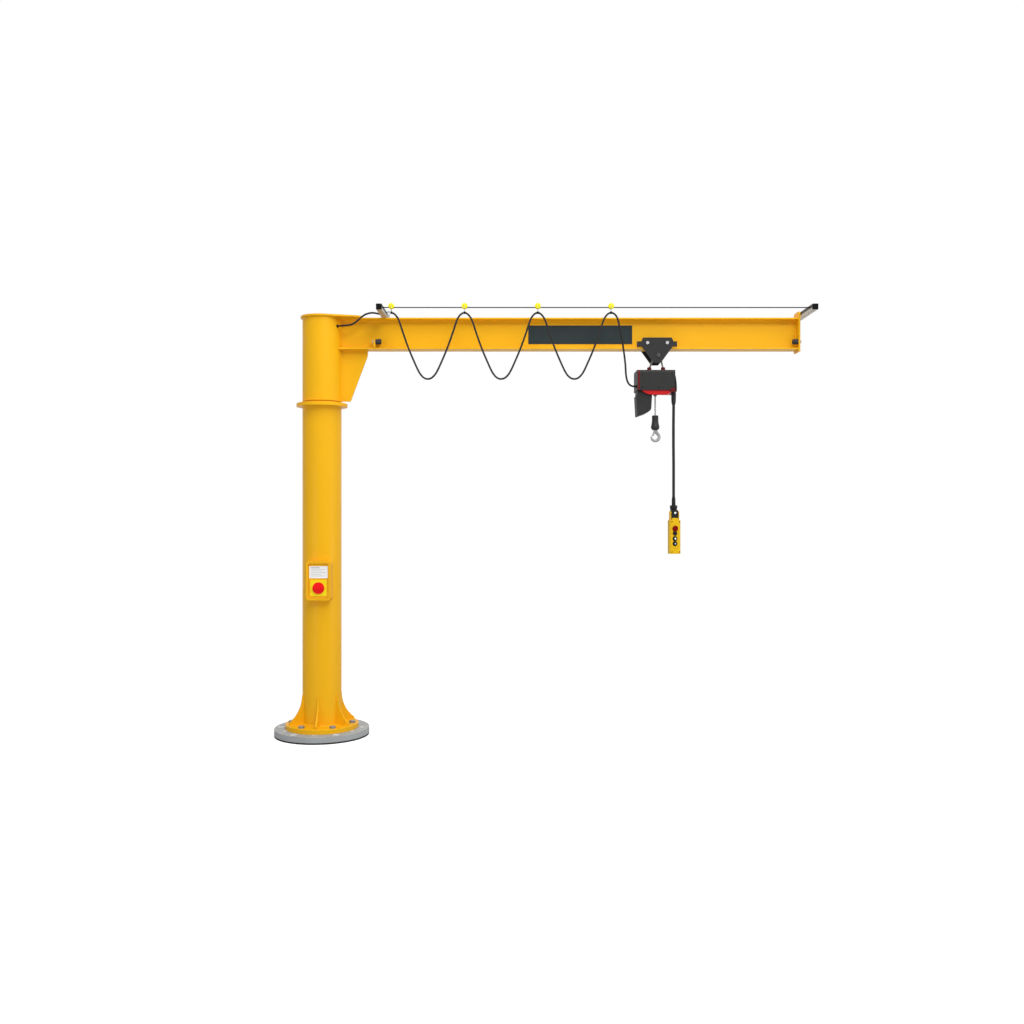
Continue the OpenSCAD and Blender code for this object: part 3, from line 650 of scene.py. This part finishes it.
# The outer carrier makes 3/4 of the trolley's way. BLEND_TOP_Z lies above it, where a height
# blend from there to the hoist's end would be 3/4 complete at the carrier.
HOIST_END_Z = BEAM_BOTTOM + LAST[-1][2] * MM
BLEND_TOP_Z = (LOOP_Z - THREE_QUARTERS * HOIST_END_Z) / (1 - THREE_QUARTERS)
cable(
    "festoon_loop_4",
    [(x * MM, y * MM, BEAM_BOTTOM + z * MM) for x, y, z in LAST],
    CABLE_D,
    "loop_4",
    bend=(
        "jib",
        "trolley",
        (CARRIER_X[3], WIRE_Y, BLEND_TOP_Z),
        (CARRIER_X[3], WIRE_Y, HOIST_END_Z),
    ),
)
cable(
    "control_cord",
    [(PENDANT_X + x * MM, PENDANT_Y, HOIST_BOTTOM + z * MM) for x, z in CONTROL],
    CONTROL_D,
    "control_cable",
    "trolley",
)

# ---------------------------------------------------------------- pillar: bolts, painted light in the ground plate's holes, welds, label


def fillet_ring(piece, z, leg):
    """A weld bead all round the pillar, up from z, or down where leg is less than 0."""
    wide = abs(leg)
    profile = [
        (TUBE_R - 1 * MM, z), (TUBE_R + wide, z), (TUBE_R + wide * 0.62, z + leg * 0.3),
        (TUBE_R + wide * 0.3, z + leg * 0.62), (TUBE_R - 0.1 * MM, z + leg), (TUBE_R - 1 * MM, z),
    ]
    piece.lathe(profile, at((0, 0, 0)), 96)


def bead(piece, start, end, radius):
    """A straight weld bead with the slight ripple of its passes."""
    start = Vector(start)
    end = Vector(end)
    steps = max(6, int((end - start).length / (6 * MM)))
    path = [start.lerp(end, i / steps) for i in range(steps + 1)]
    ripple = [1 + 0.08 * math.sin(i * 2.1) for i in range(steps + 1)]
    radii = [(radius * share, radius * share) for share in ripple]
    piece.tube(path, radii, 8)


bolts = Piece("foot_bolts", "bail_steel")
for angle in six_angles():
    spot = outward(angle, FOOT_BOLTS_R, FLANGE_TOP)
    hex_bolt(bolts, at(spot, spin=angle + 0.3), 38 * MM, 12 * MM, 46 * MM, 3 * MM)
bolts.done("column", bevel=0.8 * MM)

# Painted light: white walls inside the ground plate's open holes, standing in for bright light seen
# through them where the holes would be in shade.
painted_hole_light = Piece("ground_hole_painted_light", "label_white")
for circle_r, hole_r, start in GROUND_HOLES:
    outer_r = hole_r + 0.1 * MM
    inner_r = hole_r - 1.2 * MM
    painted_light_top = GROUND_TOP - 0.4 * MM
    profile = [
        (outer_r, GROUND_BOTTOM), (outer_r, painted_light_top), (inner_r, painted_light_top),
        (inner_r, GROUND_BOTTOM), (outer_r, GROUND_BOTTOM),
    ]
    for angle in six_angles(start):
        painted_hole_light.lathe(profile, at(outward(angle, circle_r)), 48)
painted_hole_light.done("column")

pillar_welds = Piece("pillar_welds", "yellow_paint")
fillet_ring(pillar_welds, FLANGE_TOP, 8 * MM)
fillet_ring(pillar_welds, TUBE_TOP, -6 * MM)
foot_z = Vector((0, 0, FLANGE_TOP))
rise_z = Vector((0, 0, FOOT_TOP - 4 * MM))
for angle in six_angles(GUSSETS_START):
    out = outward(angle, 1.0)
    beside = Vector((-out.y, out.x, 0)) * FOOT_GUSSET_HALF * MM
    rise = out * (TUBE_R + 0.5 * MM)
    for side in (-1, 1):
        foot_start = out * GUSSET_WELD_START + beside * side + foot_z
        foot_end = out * GUSSET_WELD_END + beside * side + foot_z
        bead(pillar_welds, foot_start, foot_end, 3.5 * MM)
        bead(pillar_welds, rise + beside * side + foot_z, rise + beside * side + rise_z, 3 * MM)
pillar_welds.done("column")

LABEL_MARGIN = 0.08  # share of the label's width
LABEL_ROWS = (  # right end as a share of the width, and height in millimetres
    (0.55, 3.0), (0.86, 1.2), (0.72, 1.2), (0.9, 1.2), (0.64, 1.2), (0.82, 1.2),
)
from_label = Matrix(((1, 0, 0, 0), (0, 0, -1, LABEL_FRONT), (0, 1, 0, 0), (0, 0, 0, 1)))
lines = Piece("label_lines", "pendant_black")
for row, (right, tall) in enumerate(LABEL_ROWS):
    x0 = LABEL_LEFT + LABEL_MARGIN * LABEL_WIDTH
    x1 = LABEL_LEFT + right * LABEL_WIDTH
    z1 = LABEL_TOP - (10 + row * 11.5) * MM
    z0 = z1 - tall * MM
    lines.prism([(x0, z0), (x1, z0), (x1, z1), (x0, z1)], 0, 0.25 * MM, from_label)
lines.done("column", smooth=False)

# ---------------------------------------------------------------- jib: welds, grommet, stop bolts

WEB_TOP = BEAM_TOP - BEAM_FLANGE_T
WEB_BOTTOM = BEAM_BOTTOM + BEAM_FLANGE_T
FLANGE_WELD_Y = 55 * MM


def sleeve_x(y):
    """Where the sleeve's front half is met at a distance y from its middle."""
    return math.sqrt(TUBE_R**2 - y**2)


jib_welds = Piece("jib_welds", "yellow_paint")
fillet_ring(jib_welds, BEAM_TOP, -5 * MM)
for y in (-7.5 * MM, 7.5 * MM):  # both sides of the plate under the beam
    x = sleeve_x(y)
    bead(jib_welds, (x, y, SLEEVE_BOTTOM + 4 * MM), (x, y, BEAM_BOTTOM - 2 * MM), 4 * MM)
    bead(jib_welds, (x, y, BEAM_BOTTOM), (322 * MM, y, BEAM_BOTTOM), 3.5 * MM)
for y in (-BEAM_WEB_T / 2, BEAM_WEB_T / 2):
    x = sleeve_x(y)
    bead(jib_welds, (x, y, WEB_BOTTOM), (x, y, WEB_TOP), 3.5 * MM)
for z in (BEAM_BOTTOM, WEB_BOTTOM):
    across = [FLANGE_WELD_Y * (i / 9 - 1) for i in range(19)]
    jib_welds.tube([(sleeve_x(y), y, z) for y in across], 3.5 * MM, 8)
for y in (-BEAM_WEB_T / 2, BEAM_WEB_T / 2):
    bead(jib_welds, (END_INSIDE, y, WEB_BOTTOM), (END_INSIDE, y, WEB_TOP), 3 * MM)
for z in (BEAM_BOTTOM, WEB_BOTTOM, WEB_TOP, BEAM_TOP):
    bead(jib_welds, (END_INSIDE, -FLANGE_WELD_Y, z), (END_INSIDE, FLANGE_WELD_Y, z), 3 * MM)
jib_welds.done("jib")

grommet = Piece("sleeve_grommet", "cap_black")
grommet.lathe(
    mm((6.7, -1), (11.5, -1), (12, 1.5), (10, 3.5), (7.4, 4), (6.7, 3), (6.7, -1)),
    at(outward(SLEEVE_HOLE_TURN, TUBE_R - 0.6 * MM, SLEEVE_HOLE_Z), outward(SLEEVE_HOLE_TURN, 1)),
)
grommet.done("jib")

stop_bolts = Piece("stop_bolts", "bright_steel")
for y in (-BUFFER_Y, BUFFER_Y):
    for x, way in ((END_OUTSIDE, 1), (STOP_INSIDE, -1)):
        place = at((x, y, BUFFER_Z), (way, 0, 0), 0.2)
        hex_bolt(stop_bolts, place, 19 * MM, 8 * MM, 24 * MM, 2.5 * MM)
stop_bolts.done("jib", bevel=0.5 * MM)

# ---------------------------------------------------------------- festoon carriers


def carrier(index, x, body):
    """A grooved roller in two halves on the wire, its bright hanger and the cable clamp."""
    axle_z = WIRE_Z + 9 * MM
    wheel = Piece(f"carrier_roller_{index}", "carrier_yellow")
    half = [(0, 13), (9, 13), (16, 12.6), (19.4, 11), (20.5, 8.5), (20.3, 6), (12.4, 1.6)]
    profile = [(r, -h) for r, h in half] + [(12.0, 0), *reversed(half)]
    wheel.lathe(mm(*profile), at((x, WIRE_Y, axle_z), (0, 1, 0)), 40)
    roller = wheel.done(body)
    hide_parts(f"carrier_{index}")

    hanger = Piece(f"carrier_hanger_{index}", "clip_zinc")
    for y in (-14.2 * MM, 14.2 * MM):
        leg = [
            (x, WIRE_Y + y, axle_z), (x, WIRE_Y + y, WIRE_Z - 14 * MM),
            (x, WIRE_Y + y * 0.55, LOOP_Z + 9 * MM), (x, WIRE_Y + y * 0.2, LOOP_Z + 3 * MM),
        ]
        hanger.tube(leg, 1.7 * MM, 10)
    axle = 15.4 * MM
    hanger.tube([(x, WIRE_Y - axle, axle_z), (x, WIRE_Y + axle, axle_z)], 2.6 * MM, 14)
    hanger.done(body)

    clamp = Piece(f"carrier_clamp_{index}", "cap_black")
    hole = CABLE_D / 2 + 0.3 * MM
    arc = [math.radians(-60 + 15 * i) for i in range(20)]
    inner = [(hole * math.cos(a), hole * math.sin(a)) for a in arc]
    outer = [(1.35 * u, 1.35 * v) for u, v in reversed(inner)]
    along_x = Matrix(((0, 0, 1, x), (1, 0, 0, WIRE_Y), (0, 1, 0, LOOP_Z), (0, 0, 0, 1)))
    clamp.prism(inner + outer, -6.5 * MM, 6.5 * MM, along_x)
    clamp.done(body, bevel=0.4 * MM)


for index, body in enumerate(CARRIER_BODIES):
    carrier(index, CARRIER_X[index], body)

# ---------------------------------------------------------------- trolley and hoist

pin_rings = Piece("pin_rings", "dark_steel")
for side in (-1, 1):
    pin_rings.lathe(
        mm((13.4, 0), (14.6, 0), (15, 0.8), (14.6, 2), (13.4, 2.2), (13.4, 0)),
        at((PIN_X, side * 68 * MM, PIN_Z), (0, side, 0)),
        36,
    )
pin_rings.done("trolley")

gland = Piece("hoist_gland", "cap_black")
gland.lathe(
    mm((6.8, -1), (11, -1), (11, 2), (9.5, 3), (9, 6), (8, 7), (6.8, 7), (6.8, -1)),
    at((HOIST_LEFT, LAST[-1][1] * MM, HOIST_END_Z), (-1, 0, 0)),
    28,
)
gland.done("trolley")

HOIST_SCREWS = mm((2376, 2449), (2262, 2450), (2262, 2545), (2470, 2545))
hoist_screws = Piece("hoist_screws", "cap_black")
for x, z in HOIST_SCREWS:
    hoist_screws.lathe(
        mm((4, -2), (4, 0.6), (3.2, 1.2), (1.8, 1.2), (1.6, 0.2), (0, 0.2)),
        at((x, HOIST_FRONT, z), (0, -1, 0)),
        18,
    )
hoist_screws.done("trolley")

guide = Piece("chain_guide", "dark_steel")
guide.lathe(
    mm((8, -1.5), (11.5, -1.5), (12.6, 0), (12.6, 24), (8, 24), (8, -1.5)),
    at((CHAIN_X, 0, UNDERSIDE_BOTTOM + 2 * MM)),
    28,
)
guide.done("trolley")

# ---------------------------------------------------------------- chain and hook

LINK_PITCH = 14.6 * MM
LINK_WIRE_R = 2.0 * MM
LINK_HALF_W = 4.8 * MM
LINK_STRAIGHT = LINK_PITCH / 2 + LINK_WIRE_R - LINK_HALF_W
LINK_WAYS = (Vector((-0.57, 0.82, 0)), Vector((0.82, 0.57, 0)))  # the links lie crosswise in turn

chain = Piece("chain_links", "chain_steel")
link_z = CHAIN_BOTTOM + 5 * MM
turned = 0
while link_z < CHAIN_TOP + 4 * MM:
    across = LINK_WAYS[turned % 2]
    loop = []
    for c, s in circle(16, LINK_HALF_W):
        lift = LINK_STRAIGHT if s >= 0 else -LINK_STRAIGHT
        loop.append(Vector((CHAIN_X, 0, link_z + lift + s)) + across * c)
    chain.tube(loop, LINK_WIRE_R, 8, closed=True)
    link_z += LINK_PITCH
    turned += 1
links = chain.done()
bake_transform(links)
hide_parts("load_chain")

HOOK_SHANK = [  # centre, and half widths in the hook's plane and across it
    ((0, 0, 63), (12, 12)),
    ((0, 0, 52), (12, 12)),
    ((1, 0, 44), (12.4, 12)),
    ((6, 0, 35), (13, 11)),
]
HOOK_INSIDE = (Vector((-2, 0, 0)), 18.5)
HOOK_OUTSIDE = (Vector((2, 0, -1)), 37.0)
HOOK_MIDDLE = Vector((0, 0, -0.5))
TIP_FROM = -140  # degrees, where the hook begins to thin
TIP_TO = -194


def reach(edge, way):
    """How far the edge of a circle lies from the hook's middle in one direction."""
    centre, radius = edge
    away = HOOK_MIDDLE - centre
    b = away.dot(way)
    return -b + math.sqrt(b * b - away.dot(away) + radius**2)


def hook_rows():
    """Centre line and half widths of the forged hook in millimetres, from its shank to its tip.
    The bowl lies between two circles that don't share a centre."""
    rows = list(HOOK_SHANK)
    for degrees in range(38, -196, -12):
        a = math.radians(degrees)
        way = Vector((math.cos(a), 0, math.sin(a)))
        near = reach(HOOK_INSIDE, way)
        far = reach(HOOK_OUTSIDE, way)
        thinned = max(0, TIP_FROM - degrees) / (TIP_FROM - TIP_TO)
        taper = 1 - 0.42 * thinned**1.5
        rows.append((HOOK_MIDDLE + way * (near + far) / 2, ((far - near) / 2 * taper, 10 * taper)))
    return rows


hook = Piece("forged_hook", "hook_steel")
rows = hook_rows()
origin = Vector((CHAIN_X, 0, HOOK_Z))
centre_line = smooth_path([p for p, _ in rows], 3)
halves = smooth_path([(*r, 0) for _, r in rows], 3)
hook.tube(
    [origin + p * MM for p in centre_line],
    [(max(r.x, 1) * MM, max(r.y, 1) * MM) for r in halves],
    20,
)
hook.lathe(
    mm((12, 60), (16.6, 61.6), (17, 63), (17, 70.6), (15.5, 72.2), (0, 72.2)), at(origin), 36
)
for side in (-1, 1):
    hook.lathe(
        mm((0, 0), (5, 0), (5, 4.6), (4.2, 5.6), (0, 5.8)),
        at(origin + Vector((-4, side * 9, 39)) * MM, (0, side, 0)),
        24,
    )
forged = hook.done("hook")
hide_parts("hook")

# ---------------------------------------------------------------- pendant

KEY_X = -2 * MM
START_Z, UP_Z, DOWN_Z = (PENDANT_TOP - drop * MM for drop in (94.5, 131, 166))
turn_pendant = Matrix.Translation((PENDANT_X, PENDANT_Y, 0)) @ Matrix.Rotation(PENDANT_TURN, 4, "Z")


def on_face(x, z, out=0.0):
    """A place on the pendant's front, with Z pointing out of it."""
    return turn_pendant @ at((x, -PENDANT_DEPTH / 2 - out, z), (0, -1, 0))


pendant_screws = Piece("pendant_screws", "pendant_black")
for x in (-24 * MM, 32 * MM):
    for z in (PENDANT_TOP - 13 * MM, PENDANT_BOTTOM + 13 * MM):
        pendant_screws.lathe(
            mm((4.4, -3), (4.4, 0.8), (3.6, 1.5), (1.6, 1.6), (1.5, 0.5), (0, 0.5)),
            on_face(x, z),
            20,
        )
pendant_screws.done("trolley")

rings = Piece("pendant_rings", "pendant_black")
for z, tall in ((START_Z, 0.8), (UP_Z, 3.4), (DOWN_Z, 3.4)):  # low under the pressed stop button
    profile = mm(
        (12.9, -2), (12.9, tall - 1), (13.7, tall), (16.5, tall - 0.4),
        (17.5, tall - 1.8), (17.5, -2), (12.9, -2),
    )
    rings.lathe(profile, on_face(KEY_X, z), 40)
rings.done("trolley")

for name, slot, body, z, r in (
    ("key_up_face", "label_white", "up_key", UP_Z, 7),
    ("key_down_face", "clip_zinc", "down_key", DOWN_Z, 6),
):
    disc = Piece(name, slot)
    disc.lathe(mm((r, -0.5), (r, 0.5), (r - 0.8, 0.9), (0, 1.1)), on_face(KEY_X, z, 9 * MM), 32)
    disc.done(body)

spot = Piece("neck_spot", "label_white")
spot.lathe(
    mm((8, -1), (8, 0.5), (7.2, 1), (0, 1.2)), on_face(0, PENDANT_TOP + 50 * MM, 2 * MM), 24
)
spot.done("trolley")

SEAM_HEIGHTS = (
    PENDANT_BOTTOM + 8 * MM, PENDANT_BOTTOM + 60 * MM, PENDANT_TOP - 60 * MM, PENDANT_TOP - 8 * MM
)
seam = Piece("pendant_seam", "pendant_black")
for x in (-36.3 * MM, 44.3 * MM):
    seam.tube([turn_pendant @ Vector((x, 10 * MM, z)) for z in SEAM_HEIGHTS], 0.9 * MM, 8)
seam.done("trolley")

# ---------------------------------------------------------------- floor and light

FLOOR_HALF = 9.0
FADE_START = 1.6
FADE_END = 6.5
LAMPS = (  # name, place, what it lights, watts, size, colour
    ("key", (4.0, -6.6, 7.0), (1.0, 0, 1.4), 298, 3.0, (1, 0.98, 0.95)),
    ("fill", (-3.5, -6.0, 0.9), (0.0, 0, 0.6), 50, 2.0, (1, 1, 1)),
    ("top", (1.0, -2.2, 7.5), (1.0, 0, 0), 210, 4.0, (1, 1, 1)),
    ("side", (12.0, -3.2, 0.9), (0.0, 0, 0.5), 190, 3.0, (1, 1, 1)),
)


def floor():
    """A floor that glows pale for the camera and fades into the white surround."""
    corners = [(x * FLOOR_HALF, y * FLOOR_HALF, 0) for x, y in ((-1, -1), (1, -1), (1, 1), (-1, 1))]
    mesh = bpy.data.meshes.new("floor")
    mesh.from_pydata(corners, [], [(0, 1, 2, 3)])
    made = bpy.data.objects.new("floor", mesh)
    bpy.context.scene.collection.objects.link(made)
    material = bpy.data.materials.new("floor_pale")
    material.use_nodes = True
    material.node_tree.nodes.clear()
    tree = Tree(material.node_tree)
    out = tree.node("ShaderNodeOutputMaterial")
    pale = tree.node("ShaderNodeBsdfDiffuse")
    tree.feed(pale.inputs["Color"], (0.6, 0.6, 0.6))
    camera_ray = tree.node("ShaderNodeLightPath").outputs["Is Camera Ray"]
    glow = tree.node("ShaderNodeEmission")
    tree.feed(glow.inputs["Color"], (1, 1, 1))
    tree.feed(glow.inputs["Strength"], tree.maths("MULTIPLY", camera_ray, 0.66))
    both = tree.node("ShaderNodeAddShader")
    tree.feed(both.inputs[0], pale.outputs[0])
    tree.feed(both.inputs[1], glow.outputs[0])
    distance = tree.node("ShaderNodeVectorMath", operation="LENGTH")
    tree.feed(distance.inputs[0], tree.node("ShaderNodeTexCoord").outputs["Object"])
    far = tree.spread(distance.outputs["Value"], 0, 1, FADE_START, FADE_END, "SMOOTHSTEP")
    mixed = tree.node("ShaderNodeMixShader")
    tree.feed(mixed.inputs[0], far)
    tree.feed(mixed.inputs[1], both.outputs[0])
    tree.feed(mixed.inputs[2], tree.node("ShaderNodeBsdfTransparent").outputs[0])
    tree.feed(out.inputs["Surface"], mixed.outputs[0])
    mesh.materials.append(material)


def lamp(name, position, target, watts, size, colour):
    """A square lamp that faces its target."""
    data = bpy.data.lights.new(name, "AREA")
    data.energy = watts
    data.size = size
    data.color = colour
    made = bpy.data.objects.new(name, data)
    bpy.context.scene.collection.objects.link(made)
    made.location = position
    made.rotation_euler = (Vector(target) - Vector(position)).to_track_quat("-Z", "Y").to_euler()


def surround():
    """Soft even light from everywhere, seen as white by the camera and in reflections."""
    world = bpy.data.worlds.new("surround")
    bpy.context.scene.world = world
    world.use_nodes = True
    tree = Tree(world.node_tree)
    back = next(n for n in tree.tree.nodes if n.type == "BACKGROUND")
    tree.feed(back.inputs["Color"], (1, 1, 1))
    path = tree.node("ShaderNodeLightPath")
    seen = path.outputs["Is Camera Ray"]
    for kind in ("Is Glossy Ray", "Is Transmission Ray"):
        seen = tree.maths("MAXIMUM", seen, path.outputs[kind])
    tree.feed(back.inputs["Strength"], tree.spread(seen, 0.42, 1.0, 0, 1))


floor()
surround()
for row in LAMPS:
    lamp(*row)
